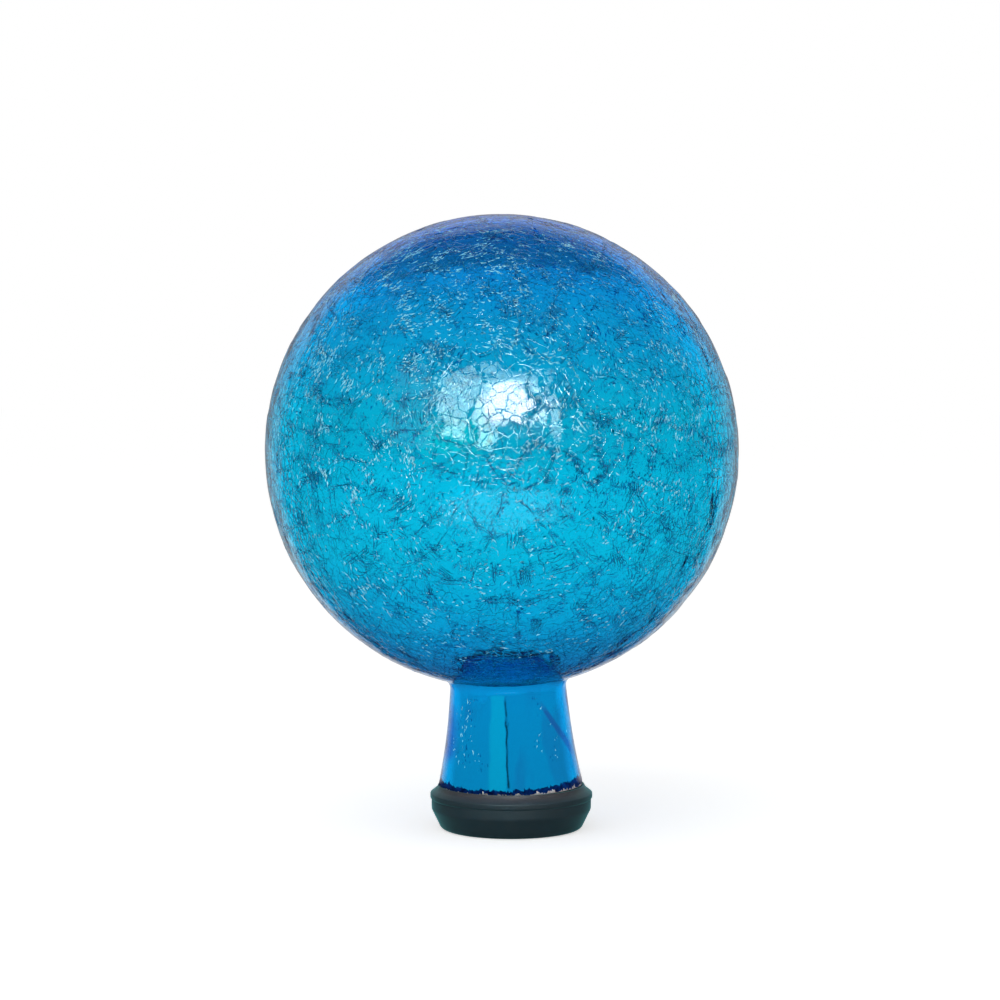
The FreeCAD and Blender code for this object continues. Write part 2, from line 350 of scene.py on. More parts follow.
def ragged(around, waves, reach, teeth, bite):
    """A ragged line round the neck: slow waves and fine teeth, as heights at each of many turns."""
    turns = np.linspace(0, 2 * math.pi, around, endpoint=False)
    line = np.zeros(around)
    for count in waves:
        line += np.sin(turns * count + RNG.uniform(0, 7)) * RNG.normal() * reach / math.sqrt(len(waves))
    knots = np.sort(RNG.uniform(0, around, teeth))
    return line + np.interp(np.arange(around), knots, RNG.normal(size=teeth) * bite)


def band(name, material, inset, foot, tops):
    """A low ring on the glass's inside, from foot up to a ragged top edge."""
    line = outline(inset, 0, 1500)
    turns = np.linspace(0, 2 * math.pi, len(tops), endpoint=False)
    radial = np.outer(np.cos(turns), ACROSS) + np.outer(np.sin(turns), THROUGH)
    rows = []
    for share in np.linspace(0, 1, 5):
        heights = foot + (tops - foot) * share
        radius = np.interp(heights, line[:, 1], line[:, 0])[:, None]
        rows.append(np.array(MOUTH) + heights[:, None] * AXIS + radius * radial)
    points = swollen(np.concatenate(rows))
    return add_piece(name, points, bands_of(len(rows), len(tops)), material, True)


# Cracks
SINK = 0.03 * MM
FLAKE_THICK = 0.03 * MM
NECK_COSINE = -0.945

# Limits of the flakes' widths in mm, slopes in degrees and depths in mm
GLINT_LIMITS = (0.40, 0.88), (13, 40), (0.1, 0.9)
NECK_GLINT_LIMITS = (0.35, 0.65), (6, 28), (0.1, 0.6)
LINE_LIMITS = (0.16, 0.28), (0, 40), (0.1, 1.2)


def cell_edges():
    """The edges of the cells, as pairs of straightened directions."""
    mesh = bmesh.new()
    for point in CELLS:
        mesh.verts.new(point)
    bmesh.ops.convex_hull(mesh, input=mesh.verts)
    bmesh.ops.triangulate(mesh, faces=mesh.faces)
    mesh.normal_update()
    edges = []
    for edge in mesh.edges:
        if len(edge.link_faces) == 2:
            middle = np.array(edge.verts[0].co)
            ends = [np.array(face.normal) for face in edge.link_faces]
            edges.append([end if end @ middle > 0 else -end for end in ends])
    mesh.free()
    return np.array(edges)


def rungs(start, stop, count, spread, turn, length):
    """Short cracks that cross a line between two directions like a ladder's rungs."""
    ahead = unit(stop - start)
    place = unit(start + (stop - start) * RNG.random((count, 1)))
    place = unit(place + np.cross(place, ahead) * RNG.normal(size=(count, 1)) * spread / GLOBE_RADIUS)
    angle = turn + RNG.normal(size=(count, 1)) * 0.3
    heading = ahead * np.cos(angle) + np.cross(place, ahead) * np.sin(angle)
    return place, heading, RNG.lognormal(math.log(length), 0.45, count)


def stroke(place, heading, length, bend, count):
    """A bent line of straightened directions through a place."""
    steps = np.linspace(-0.5, 0.5, count)[:, None] * length / GLOBE_RADIUS
    aside = np.cross(place, heading)
    return unit(place + heading * steps + aside * bend * steps ** 2 * GLOBE_RADIUS / length)


def tangent(place):
    return unit(np.cross(place, RNG.normal(size=3)))


def crack_flakes(name, places, normals, headings, lengths, widths, slopes, depths, material):
    """A thin leaning flake inside the glass for each short crack."""
    headings = unit(headings - normals * (headings * normals).sum(axis=1, keepdims=True))
    sides = np.cross(normals, headings)
    down, over = np.sin(slopes)[:, None], np.cos(slopes)[:, None]
    ahead = headings * lengths[:, None] / 2
    high = places - normals * depths[:, None]
    shift = ahead * RNG.uniform(-0.7, 0.7, (len(places), 1))
    deep = high + (sides * over - normals * down) * widths[:, None] + shift
    back = deep + (sides * down + normals * over) * FLAKE_THICK
    points = np.stack([high - ahead, high + ahead, deep, back], axis=1).reshape(-1, 3)
    corners = np.array([[0, 1, 3], [0, 2, 1], [0, 3, 2], [1, 2, 3]])
    faces = ((np.arange(len(places)) * 4)[:, None, None] + corners[None]).reshape(-1, 3).tolist()
    return add_piece(name, points, faces, material)


def crack_ridges(name, lines, widths, heights, material):
    """A low three-sided ridge along each line of directions, its foot sunk in the glass."""
    counts = [len(line) for line in lines]
    every = wandering(np.concatenate(lines))
    points, faces, first = [], [], 0
    lifts = lumps(every)
    for count, width, height in zip(counts, widths, heights):
        line, lift = every[first:first + count], lifts[first:first + count, None]
        side = unit(np.cross(line, np.gradient(line, axis=0)))
        share = np.sqrt(1.03 - np.linspace(-1, 1, count) ** 2)[:, None]
        foot = CENTRE + line * (GLOBE_RADIUS + lift - SINK)
        top = CENTRE + line * (GLOBE_RADIUS + lift + height * share)
        top += side * width * RNG.uniform(-0.3, 0.3)
        aside = side * width * share / 2
        points.append(np.stack([foot + aside, foot - aside, top], axis=1))
        base = 3 * first
        for i in range(count - 1):
            a = base + 3 * i
            faces += [(a, a + 2, a + 5, a + 3), (a + 2, a + 1, a + 4, a + 5), (a + 1, a, a + 3, a + 4)]
        last = base + 3 * (count - 1)
        faces += [(base, base + 1, base + 2), (last + 1, last, last + 2)]
        first += count
    points = np.concatenate(points).reshape(-1, 3)
    return add_piece(name, points, faces, material)


def above_neck(directions):
    return directions @ AXIS > NECK_COSINE


EDGES = cell_edges()
EDGES = EDGES[above_neck(EDGES).all(axis=1)]


def short_cracks(apart, loose_count, length, lowest, low_share):
    """Places, headings and lengths of short cracks, most of them crowded along the cells' edges."""
    sets = []
    for start, stop in EDGES:
        run = np.linalg.norm(stop - start) * GLOBE_RADIUS
        count = int(run / apart * RNG.gamma(4.0, 1 / 4.0))
        turn = math.radians(RNG.uniform(20, 100) * RNG.choice([-1, 1]))
        if count:
            sets.append(rungs(start, stop, count, RNG.uniform(1.2, 4.2) * MM, turn, length))
    # Some lie anywhere
    loose = unit(RNG.normal(size=(loose_count, 3)))
    headings = unit(np.cross(loose, RNG.normal(size=loose.shape)))
    sets.append((loose, headings, RNG.lognormal(math.log(length), 0.4, loose_count)))
    places, headings, lengths = (np.concatenate(parts) for parts in zip(*sets))
    places = wandering(places)
    up = places @ AXIS
    share = np.interp(up, (lowest - 0.02, lowest + 0.02, -0.25, 0.05), (0, low_share, low_share, 1))
    kept = RNG.random(len(up)) < share
    return places[kept], headings[kept], lengths[kept]


def long_cracks():
    """Lines of directions, widths and heights of the longer cracks."""
    lines, widths, heights = [], [], []

    def add(line, width, height):
        if above_neck(line).all():
            lines.append(line)
            widths.append(width * MM)
            heights.append(height * MM)

    # Parts of the cells' own edges
    for start, stop in EDGES:
        if RNG.random() < 0.6:
            low = RNG.uniform(0, 0.35)
            high = RNG.uniform(0.6, 1.0)
            share = np.linspace(low, high, 6)[:, None]
            add(unit(start + (stop - start) * share), RNG.uniform(0.25, 0.45), RNG.uniform(0.02, 0.05))
    # Sets of nearly parallel cracks
    for _ in range(340):
        start, stop = EDGES[RNG.integers(len(EDGES))]
        centre = unit(start + (stop - start) * RNG.random())
        heading = tangent(centre)
        aside = np.cross(centre, heading)
        gap, fan, bend = RNG.uniform(0.9, 1.6) * MM, RNG.normal() * 0.05, RNG.normal() * 0.15
        length = RNG.uniform(4, 11) * MM
        for k in range(RNG.integers(3, 7)):
            place = unit(centre + (aside * k * gap + heading * RNG.normal() * 1.2 * MM) / GLOBE_RADIUS)
            turned = unit(heading + aside * fan * k)
            add(stroke(place, turned, length * RNG.uniform(0.6, 1.1), bend, 5),
                RNG.uniform(0.25, 0.4), RNG.uniform(0.02, 0.05))
    # Bursts where cells meet
    for _ in range(240):
        centre = EDGES[RNG.integers(len(EDGES))][0]
        for _ in range(RNG.integers(4, 8)):
            heading = tangent(centre)
            length = RNG.uniform(2, 6) * MM
            place = unit(centre + heading * length * 0.55 / GLOBE_RADIUS)
            add(stroke(place, heading, length, RNG.normal() * 0.2, 4),
                RNG.uniform(0.22, 0.38), RNG.uniform(0.02, 0.05))
    # Lone arcs
    for _ in range(280):
        place = unit(RNG.normal(size=3))
        add(stroke(place, tangent(place), RNG.uniform(6, 13) * MM, RNG.normal() * 0.2, 7),
            RNG.uniform(0.25, 0.4), RNG.uniform(0.02, 0.05))
    return lines, np.array(widths), np.array(heights)


# Chains of cracks down the neck: turn about its axis in degrees, lowest and highest place in mm, how many
NECK_CHAINS = [
    (-133, 26, 62, 38), (-146, 28, 60, 24), (-121, 24, 50, 14), (-62, 34, 64, 12), (-48, 28, 50, 12),
    (-20, 25, 60, 22), (8, 30, 64, 26), (35, 26, 56, 18), (62, 32, 66, 30), (95, 24, 60, 22),
    (124, 30, 58, 24), (150, 26, 64, 18), (176, 34, 62, 26),
]


def neck_cracks():
    """Places, normals and headings of short cracks on the neck."""
    line = outline(0, 0, 2000)
    line = line[:np.searchsorted(line[:, 1], ROOT_UP)]
    slopes = np.gradient(line[:, 0], line[:, 1])
    turns, heights = [], []
    for turn, low, high, count in NECK_CHAINS:
        heights.append(RNG.uniform(low, high, count) * MM)
        weave = 0.1 * np.sin(heights[-1] / (7 * MM) + turn)
        turns.append(math.radians(turn) + weave + RNG.normal(size=count) * 0.04)
    turns, heights = np.concatenate(turns), np.concatenate(heights)
    radial = np.outer(np.cos(turns), ACROSS) + np.outer(np.sin(turns), THROUGH)
    radius, slope = (np.interp(heights, line[:, 1], values)[:, None] for values in (line[:, 0], slopes))
    places = np.array(MOUTH) + heights[:, None] * AXIS + radius * radial
    normals = unit(radial - slope * AXIS)
    lean = RNG.normal(size=(len(turns), 1)) * 0.4 + math.pi * RNG.integers(0, 2, (len(turns), 1))
    headings = AXIS * np.cos(lean) + np.cross(normals, AXIS) * np.sin(lean)
    return places, normals, headings


# Materials
class Nodes:
    """Short ways to add and join shader nodes."""

    def __init__(self, tree):
        self.tree = tree

    def add(self, kind, inputs=None, **settings):
        node = self.tree.nodes.new(kind)
        for name, value in settings.items():
            setattr(node, name, value)
        for key, value in (inputs or {}).items():
            if isinstance(value, bpy.types.NodeSocket):
                self.tree.links.new(value, node.inputs[key])
            else:
                node.inputs[key].default_value = value
        return node

    def math(self, operation, *values):
        return self.add("ShaderNodeMath", dict(enumerate(values)), operation=operation).outputs[0]

    def vector(self, operation, *values):
        return self.add("ShaderNodeVectorMath", dict(enumerate(values)), operation=operation).outputs[0]

    def measure(self, operation, first, second):
        """A vector operation that gives one number."""
        node = self.add("ShaderNodeVectorMath", {0: first, 1: second}, operation=operation)
        return node.outputs["Value"]

    def split(self, vector):
        return self.add("ShaderNodeSeparateXYZ", {0: vector}).outputs

    def ramp(self, value, stops, interpolation="LINEAR"):
        node = self.add("ShaderNodeValToRGB", {0: value})
        node.color_ramp.interpolation = interpolation
        elements = node.color_ramp.elements
        while len(elements) < len(stops):
            elements.new(0.5)
        for element, (place, colour) in zip(elements, stops):
            element.position = place
            element.color = (*colour, 1)
        return node.outputs[0]

    def grey_ramp(self, value, stops, interpolation="LINEAR"):
        return self.ramp(value, [(place, (shade,) * 3) for place, shade in stops], interpolation)

    def position(self):
        return self.add("ShaderNodeNewGeometry").outputs["Position"]

    def oval(self, across, up, axis, half_width, half_height):
        """Half the distance from a point in half-widths, with a rough edge, over X and another axis."""
        x, *others = self.split(self.position())
        rough = self.noise(self.position(), 14.0, 3.0)
        ratio = [self.math("DIVIDE", self.math("SUBTRACT", value, middle), half)
                 for value, middle, half in ((x, across, half_width), (others[axis - 1], up, half_height))]
        far = self.math("SQRT", self.math("ADD", *(self.math("MULTIPLY", value, value) for value in ratio)))
        return self.math("MULTIPLY", self.math("ADD", far, self.math("SUBTRACT", rough, 0.5)), 0.5)

    def noise(self, vector, scale, detail):
        return self.add("ShaderNodeTexNoise", {"Vector": vector, "Scale": scale, "Detail": detail}).outputs[0]

    def bump(self, height, strength, distance):
        inputs = {"Height": height, "Strength": strength, "Distance": distance}
        return self.add("ShaderNodeBump", inputs).outputs[0]

    def mix_colour(self, share, first, second):
        node = self.add("ShaderNodeMix", data_type="RGBA")
        for index, value in ((0, share), (6, first), (7, second)):
            if isinstance(value, bpy.types.NodeSocket):
                self.tree.links.new(value, node.inputs[index])
            else:
                node.inputs[index].default_value = value
        return node.outputs[2]

    def mix_shader(self, share, first, second):
        return self.add("ShaderNodeMixShader", {0: share, 1: first.outputs[0], 2: second.outputs[0]})


def new_material(name):
    material = bpy.data.materials.new(name)
    material.use_nodes = True
    material.node_tree.nodes.clear()
    return material, Nodes(material.node_tree)


def finished(material, nodes, inputs):
    """The material, its surface one shader with these inputs."""
    shader = nodes.add("ShaderNodeBsdfPrincipled", inputs)
    nodes.add("ShaderNodeOutputMaterial", {"Surface": shader.outputs[0]})
    return material


def glass_look():
    material, n = new_material("crackle_glass_look")
    place = n.position()
    warp = n.add("ShaderNodeTexNoise", {"Vector": place, "Scale": 90.0, "Detail": 2.0}).outputs["Color"]
    warped = n.vector("MULTIPLY_ADD", warp, (0.006, 0.006, 0.006), place)
    cells = n.add("ShaderNodeTexVoronoi", {"Vector": warped, "Scale": 190.0}, feature="DISTANCE_TO_EDGE")
    grooves = n.grey_ramp(cells.outputs["Distance"], [(0.0, 0.0), (0.06, 1.0)], "EASE")
    crowded = n.grey_ramp(n.noise(place, 70.0, 2.0), [(0.42, 0.3), (0.58, 1.0)])
    height = n.split(place)[2]
    crackled = n.grey_ramp(n.math("DIVIDE", height, WHOLE_HEIGHT), [(0.23, 0.0), (0.26, 1.0)])
    grooves = n.math("MULTIPLY", n.math("MULTIPLY", grooves, crowded), crackled)
    ripple = n.math("MULTIPLY_ADD", n.noise(place, 420.0, 1.0), 0.035, grooves)
    inputs = {
        "Base Color": WHITE, "Roughness": 0.0, "IOR": 1.5, "Transmission Weight": 1.0,
        "Normal": n.bump(ripple, 1.0, 0.13 * MM),
    }
    return finished(material, n, inputs)


# The lacquer's colour by height: deeper blue towards the bottom and the top of the globe, partly its own tone
# and partly painted shade where the globe shows a dim floor and ceiling
TINT_STOPS = [
    (0.07, (0.001, 0.24, 0.52)),
    (0.20, (0.001, 0.26, 0.58)),
    (0.27, (0.001, 0.24, 0.60)),
    (0.36, (0.001, 0.36, 0.65)),
    (0.45, (0.001, 0.44, 0.67)),
    (0.66, (0.001, 0.44, 0.67)),
    (0.80, (0.001, 0.33, 0.68)),
    (0.97, (0.001, 0.20, 0.80)),
]


def tint_look():
    material, n = new_material("blue_lacquer_look")
    place = n.position()
    x, y, height = n.split(place)
    level = n.math("DIVIDE", height, WHOLE_HEIGHT)
    patchy = n.noise(place, 30.0, 3.0)
    share = n.math("ADD", level, n.math("MULTIPLY", n.math("SUBTRACT", patchy, 0.5), 0.06))
    colour = n.ramp(share, TINT_STOPS)
    # Uneven streaks down the neck
    drawn = n.vector("MULTIPLY", place, (1.0, 1.0, 0.2))
    streaks = n.grey_ramp(n.noise(drawn, 55.0, 3.0), [(0.56, 0.0), (0.63, 1.0)])
    on_neck = n.grey_ramp(level, [(0.20, 0.3), (0.26, 0.0)])
    colour = n.mix_colour(n.math("MULTIPLY", streaks, on_neck), colour, (0.006, 0.11, 0.36, 1))
    # A dark run that slants down the neck's right side and a dark patch on its left, both painted reflections
    # of dark surroundings in the neck's mirror coat
    uneven = n.math("MULTIPLY_ADD", patchy, 0.008, -0.102)
    slant = n.math("ABSOLUTE", n.math("ADD", n.math("MULTIPLY_ADD", x, 1.8, height), uneven))
    run = n.grey_ramp(n.math("MULTIPLY", slant, 100.0), [(0.14, 0.7), (0.32, 0.0)])
    run = n.math("MULTIPLY", run, n.grey_ramp(n.math("MULTIPLY", y, -50.0), [(0.2, 0.0), (0.5, 1.0)]))
    from_reflection_patch = n.measure("DISTANCE", n.vector("MULTIPLY", place, (1.0, 1.0, 0.4)), (-0.0345, -0.009, 0.019))
    painted_reflection_patch = n.grey_ramp(n.math("MULTIPLY", from_reflection_patch, 50.0), [(0.28, 0.75), (0.66, 0.0)])
    between = n.grey_ramp(share, [(0.11, 0.0), (0.13, 1.0), (0.195, 1.0), (0.21, 0.0)])
    dark = n.math("MULTIPLY", n.math("MAXIMUM", run, painted_reflection_patch), between)
    # The painted dark reflections, kept to the neck, mixed into the lacquer's colour
    colour = n.mix_colour(dark, colour, (0.012, 0.08, 0.34, 1))
    cells = n.add("ShaderNodeTexVoronoi", {"Vector": place, "Scale": 120.0}, feature="SMOOTH_F1")
    bump = n.bump(cells.outputs["Distance"], 0.5, 0.25 * MM)
    inputs = {"Base Color": colour, "Metallic": 1.0, "Roughness": 0.06, "Normal": bump}
    return finished(material, n, inputs)


def band_look():
    material, n = new_material("bare_lacquer_painted_shade_look")
    place = n.position()
    # Dark blue: the lacquer where no silver backs it, with the shade inside the neck painted into its colour
    colour = n.ramp(n.noise(place, 420.0, 4.0), [(0.35, (0.001, 0.012, 0.10)), (0.65, (0.002, 0.06, 0.34))])
    inputs = {"Base Color": colour, "Roughness": 0.5, "Specular IOR Level": 0.0}
    return finished(material, n, inputs)


def fleck_look():
    material, n = new_material("bare_silver_look")
    stain = n.noise(n.position(), 600.0, 3.0)
    colour = n.ramp(stain, [(0.50, (0.95, 0.96, 0.98)), (0.70, (0.80, 0.62, 0.60))])
    inputs = {"Base Color": colour, "Metallic": 1.0, "Roughness": 0.4}
    return finished(material, n, inputs)


def silver_look():
    material, n = new_material("silver_film_look")
    mottle = n.noise(n.position(), 90.0, 5.0)
    colour = n.ramp(mottle, [(0.35, (0.50, 0.52, 0.54)), (0.65, (0.78, 0.80, 0.82))])
    rough = n.grey_ramp(mottle, [(0.3, 0.45), (0.7, 0.3)])
    inputs = {"Base Color": colour, "Metallic": 1.0, "Roughness": rough}
    return finished(material, n, inputs)


def flake_look():
    material, n = new_material("crack_flake_look")
    shade = n.noise(n.position(), 140.0, 2.0)
    colour = n.ramp(shade, [(0.35, (0.18, 0.68, 1.0)), (0.65, (0.42, 0.86, 1.0))])
    rough = n.grey_ramp(shade, [(0.3, 0.32), (0.7, 0.28)])
    facing = n.add("ShaderNodeLayerWeight", {"Blend": 0.5}).outputs["Facing"]
    gloss = n.grey_ramp(facing, [(0.0, 0.95), (0.055, 0.95), (0.075, 0.05)])
    inputs = {"Base Color": colour, "Metallic": 1.0, "Roughness": rough, "Alpha": gloss}
    return finished(material, n, inputs)


def crack_look(name, dark, pale, cover):
    material, n = new_material(name)
    colour = n.ramp(n.noise(n.position(), 140.0, 2.0), [(0.35, dark), (0.65, pale)])
    inputs = {"Base Color": colour, "Roughness": 0.6, "Specular IOR Level": 0.2, "Alpha": cover}
    return finished(material, n, inputs)


def rubber_look():
    material, n = new_material("rubber_look")
    place = n.position()
    share = n.math("DIVIDE", n.split(place)[2], CAP_HEIGHT)
    # Teal low on the cap is a painted reflection; the lighter grey lip is partly dust and partly a painted
    # highlight
    dust_and_painted_reflection = n.grey_ramp(share, [(0.0, 0.0), (0.80, 0.1), (0.90, 0.9), (1.0, 1.0)])
    mottle = n.grey_ramp(n.noise(place, 160.0, 5.0), [(0.35, 0.0), (0.7, 1.0)])
    colour = n.mix_colour(dust_and_painted_reflection, (0.010, 0.040, 0.056, 1), (0.074, 0.066, 0.074, 1))
    colour = n.mix_colour(n.math("MULTIPLY", mottle, 0.25), colour, (0.035, 0.056, 0.066, 1))
    grain = n.noise(place, 2600.0, 2.0)
    rough = n.grey_ramp(mottle, [(0.0, 0.48), (1.0, 0.60)])
    inputs = {
        "Base Color": colour, "Roughness": rough, "Normal": n.bump(grain, 0.25, 0.08 * MM),
        "Sheen Weight": 0.75, "Sheen Roughness": 0.35, "Sheen Tint": (0.25, 0.95, 1.0, 1),
    }
    return finished(material, n, inputs)


# The object
shell = glass_shell("crackle_globe", glass_look())
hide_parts("glass_globe")

tint = coat("mirror_tint", tint_look(), TINT_INSET, TINT_FOOT, 240, 150)
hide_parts("tint_lacquer")
silver = coat("silver_film", silver_look(), SILVER_INSET, SILVER_FOOT, 120, 90)
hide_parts("silver_lining")
turns = np.linspace(0, 2 * math.pi, BAND_AROUND, endpoint=False)
band_top = (13.9 + 2.6 * np.cos(turns) ** 2 + 0.4 * np.cos(turns)) * MM
band_top += ragged(BAND_AROUND, (3, 7, 12), 0.35 * MM, 360, 0.5 * MM)
band("bare_tint", band_look(), BAND_INSET, BAND_FOOT, band_top)
fleck_top = 12.0 * MM + ragged(BAND_AROUND, (9, 16, 25), 0.5 * MM, 480, 0.6 * MM)
fleck_top = np.maximum(fleck_top, BAND_FOOT + 0.1 * MM)
band("bare_silver", fleck_look(), FLECK_INSET, BAND_FOOT, fleck_top)

flakes = flake_look()
dark_lines = crack_look("fine_crack_look", (0.001, 0.26, 0.70), (0.002, 0.40, 0.85), 0.7)
surface_lines = crack_look("long_crack_look", (0.001, 0.17, 0.42), (0.002, 0.25, 0.55), 0.65)


def flake_sizes(count, widths, slopes, depths):
    """Slope widths, slopes and depths of some flakes, each drawn between two limits."""
    return (RNG.uniform(*widths, count) * MM, np.radians(RNG.uniform(*slopes, count)),
            RNG.uniform(*depths, count) * MM)


glints = short_cracks(apart=0.50 * MM, loose_count=14500, length=1.8 * MM, lowest=-0.84, low_share=0.45)
lines = short_cracks(apart=0.90 * MM, loose_count=17000, length=2.9 * MM, lowest=NECK_COSINE, low_share=1.0)
for kind, cracks, limits, material in (
    ("short_cracks", glints, GLINT_LIMITS, flakes), ("fine_cracks", lines, LINE_LIMITS, dark_lines),
):
    places, headings, lengths = cracks
    on_surface = glass_points(places, np.zeros(len(places)))
    upper = places @ AXIS > 0
    for half, chosen in (("upper", upper), ("lower", ~upper)):
        crack_flakes(f"{kind}_{half}", on_surface[chosen], places[chosen], headings[chosen], lengths[chosen],
                     *flake_sizes(chosen.sum(), *limits), material)
neck_places, neck_normals, neck_headings = neck_cracks()
count = len(neck_places)
crack_flakes("neck_cracks", neck_places, neck_normals, neck_headings,
             RNG.lognormal(math.log(1.5 * MM), 0.4, count), *flake_sizes(count, *NECK_GLINT_LIMITS), flakes)
crack_ridges("long_cracks", *long_cracks(), surface_lines)

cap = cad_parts["rubber_cap"]
cap.data.materials.clear()
cap.data.materials.append(rubber_look())


# Floor, surroundings and lights. Rises of brightness run over Y, towards the back
BACKDROP_STOPS = [(0.66, 0.03), (0.78, 0.50), (0.88, 0.58), (1.0, 0.50)]
FLOOR_STOPS = [(0.60, 0.03), (0.76, 0.75), (0.92, 0.75), (1.0, 0.50)]
BEHIND_STOPS = [(0.35, 0.0), (0.65, 1.0)]
BEHIND_GAIN = 0.6


def dim_room(n, y, z, stops):
    """What the glass's outer surface shows of a direction: a white backdrop behind, dimmer level with it."""
    level = n.grey_ramp(n.math("ABSOLUTE", z), [(0.0, 0.55), (0.15, 0.6), (0.38, 1.0)])
    return n.math("MULTIPLY", n.grey_ramp(y, stops), level)


def make_world():
    world = bpy.data.worlds.new("studio")
    bpy.context.scene.world = world
    world.use_nodes = True
    world.node_tree.nodes.clear()
    n = Nodes(world.node_tree)
    direction = n.add("ShaderNodeTexCoord").outputs["Generated"]
    x, y, z = n.split(direction)
    azimuth = n.math("DIVIDE", n.math("ARCTAN2", x, n.math("MULTIPLY", y, -1.0)), math.pi)
    elevation = n.math("DIVIDE", n.math("ARCSINE", z), math.pi / 2)
    turn = n.math("MULTIPLY_ADD", azimuth, 0.5, 0.5)
    rise = n.math("MULTIPLY_ADD", elevation, 0.5, 0.5)
    # What the mirror coat shows: a room, brighter behind, a dark ceiling, a bright strip and a dark post
    ceiling = n.measure("DOT_PRODUCT", direction, (0, 0.672, 0.741))
    dark = n.math("MULTIPLY", n.grey_ramp(ceiling, [(0.855, 0.0), (0.865, 0.54), (1.0, 0.60)]),
                  n.grey_ramp(z, [(0.52, 0.0), (0.60, 1.0)]))
    room = n.math("SUBTRACT", 1.0, dark)
    strip = n.grey_ramp(turn, [(0.385, 0.0), (0.40, 1.0), (0.478, 1.0), (0.480, 0.0)])
    post = n.grey_ramp(turn, [(0.4815, 0.0), (0.483, 1.0), (0.491, 1.0), (0.4925, 0.0)])
    lit = n.math("MULTIPLY", strip, n.grey_ramp(rise, [(0.48, 0.0), (0.50, 1.0), (0.585, 1.0), (0.60, 0.0)]))
    broken = n.grey_ramp(rise, [
        (0.510, 0.0), (0.514, 0.95), (0.524, 0.95), (0.525, 0.0), (0.527, 0.0), (0.528, 0.95), (0.550, 0.95),
        (0.551, 0.2), (0.552, 0.2), (0.553, 0.95), (0.580, 0.95), (0.584, 0.0),
    ])
    darker = n.math("SUBTRACT", 1.0, n.math("MULTIPLY", post, broken))
    behind = n.math("MULTIPLY_ADD", n.grey_ramp(y, BEHIND_STOPS), BEHIND_GAIN, 1.0)
    strength = n.math("MULTIPLY", n.math("MULTIPLY", room, darker), behind)
    colour = n.mix_colour(lit, WHITE, (1.0, 1.38, 1.12, 1))
    dim = dim_room(n, y, z, BACKDROP_STOPS)
    path = n.add("ShaderNodeLightPath")
    seen = n.add("ShaderNodeBackground", {"Color": WHITE, "Strength": 1.0})
    mirrored = n.add("ShaderNodeBackground", {"Color": colour, "Strength": strength})
    glossy = n.add("ShaderNodeBackground", {"Color": WHITE, "Strength": dim})
    shader = n.add("ShaderNodeBackground", {"Color": WHITE, "Strength": 0.5})
    for ray, light in (("Is Glossy Ray", glossy), ("Is Transmission Ray", mirrored), ("Is Camera Ray", seen)):
        shader = n.mix_shader(path.outputs[ray], shader, light)
    n.add("ShaderNodeOutputWorld", {"Surface": shader.outputs[0]})


def make_floor():
    mesh = bpy.data.meshes.new("floor")
    half = 40.0
    corners = [(-half, -half, 0), (half, -half, 0), (half, half, 0), (-half, half, 0)]
    mesh.from_pydata(corners, [], [(0, 1, 2, 3)])
    floor = bpy.data.objects.new("floor", mesh)
    bpy.context.scene.collection.objects.link(floor)
    floor.location.z = -0.2 * MM
    material, n = new_material("floor_paint")
    path = n.add("ShaderNodeLightPath")
    paint = n.add("ShaderNodeBsdfDiffuse", {"Color": (0.8, 0.8, 0.8, 1)})
    # A lit patch before the globe and a brighter part behind it, which only the glass and its coat show
    lit_patch = n.grey_ramp(n.oval(0, -0.53, 1, 0.28, 0.19), [(0.40, 1.0), (0.56, 0.0)], "EASE")
    toward = n.vector("NORMALIZE", n.vector("SUBTRACT", n.position(), tuple(GLOBE_CENTRE)))
    _, y, z = n.split(toward)
    behind = n.math("MULTIPLY", n.grey_ramp(y, BEHIND_STOPS), BEHIND_GAIN)
    lighter = n.math("MULTIPLY_ADD", lit_patch, 0.2, behind)
    glow = n.math("MULTIPLY_ADD", path.outputs["Is Transmission Ray"], lighter, 0.60)
    shown = n.math("MAXIMUM", path.outputs["Is Camera Ray"], path.outputs["Is Transmission Ray"])
    glow = n.add("ShaderNodeEmission", {"Color": WHITE, "Strength": n.math("MULTIPLY", shown, glow)})
    pale = n.add("ShaderNodeAddShader", {0: paint.outputs[0], 1: glow.outputs[0]})
    seen = n.math("MULTIPLY_ADD", lit_patch, 0.55, dim_room(n, y, z, FLOOR_STOPS))
    dim = n.add("ShaderNodeEmission", {"Color": WHITE, "Strength": seen})
    not_through = n.math("SUBTRACT", 1.0, path.outputs["Is Transmission Ray"])
    shader = n.mix_shader(n.math("MULTIPLY", path.outputs["Is Glossy Ray"], not_through), pale, dim)
    n.add("ShaderNodeOutputMaterial", {"Surface": shader.outputs[0]})
    mesh.materials.append(material)


def panel(name, width, height, radiance):
    """A rectangular lamp with this radiance of its face, unseen by the camera and through the glass."""
    data = bpy.data.lights.new(name, "AREA")
    data.shape = "RECTANGLE"
    data.size, data.size_y = width, height
    data.energy = radiance * math.pi * width * height
    lamp = bpy.data.objects.new(name, data)
    lamp.visible_camera = False
    lamp.visible_transmission = False
    bpy.context.scene.collection.objects.link(lamp)
    return lamp


def lamp_towards_globe(name, left, right, low, high, distance, radiance):
    """A panel between these angles in degrees, seen from the globe's centre, that faces it."""
    azimuth, elevation = math.radians((left + right) / 2), math.radians((low + high) / 2)
    width = 2 * distance * math.tan(math.radians((right - left) / 2))
    height = 2 * distance * math.tan(math.radians((high - low) / 2))
    lamp = panel(name, width, height, radiance)
    level = math.cos(elevation)
    away = Vector((math.sin(azimuth) * level, -math.cos(azimuth) * level, math.sin(elevation)))
    lamp.location = GLOBE_CENTRE + away * distance
    lamp.rotation_euler = away.to_track_quat("Z", "Y").to_euler()
    return lamp


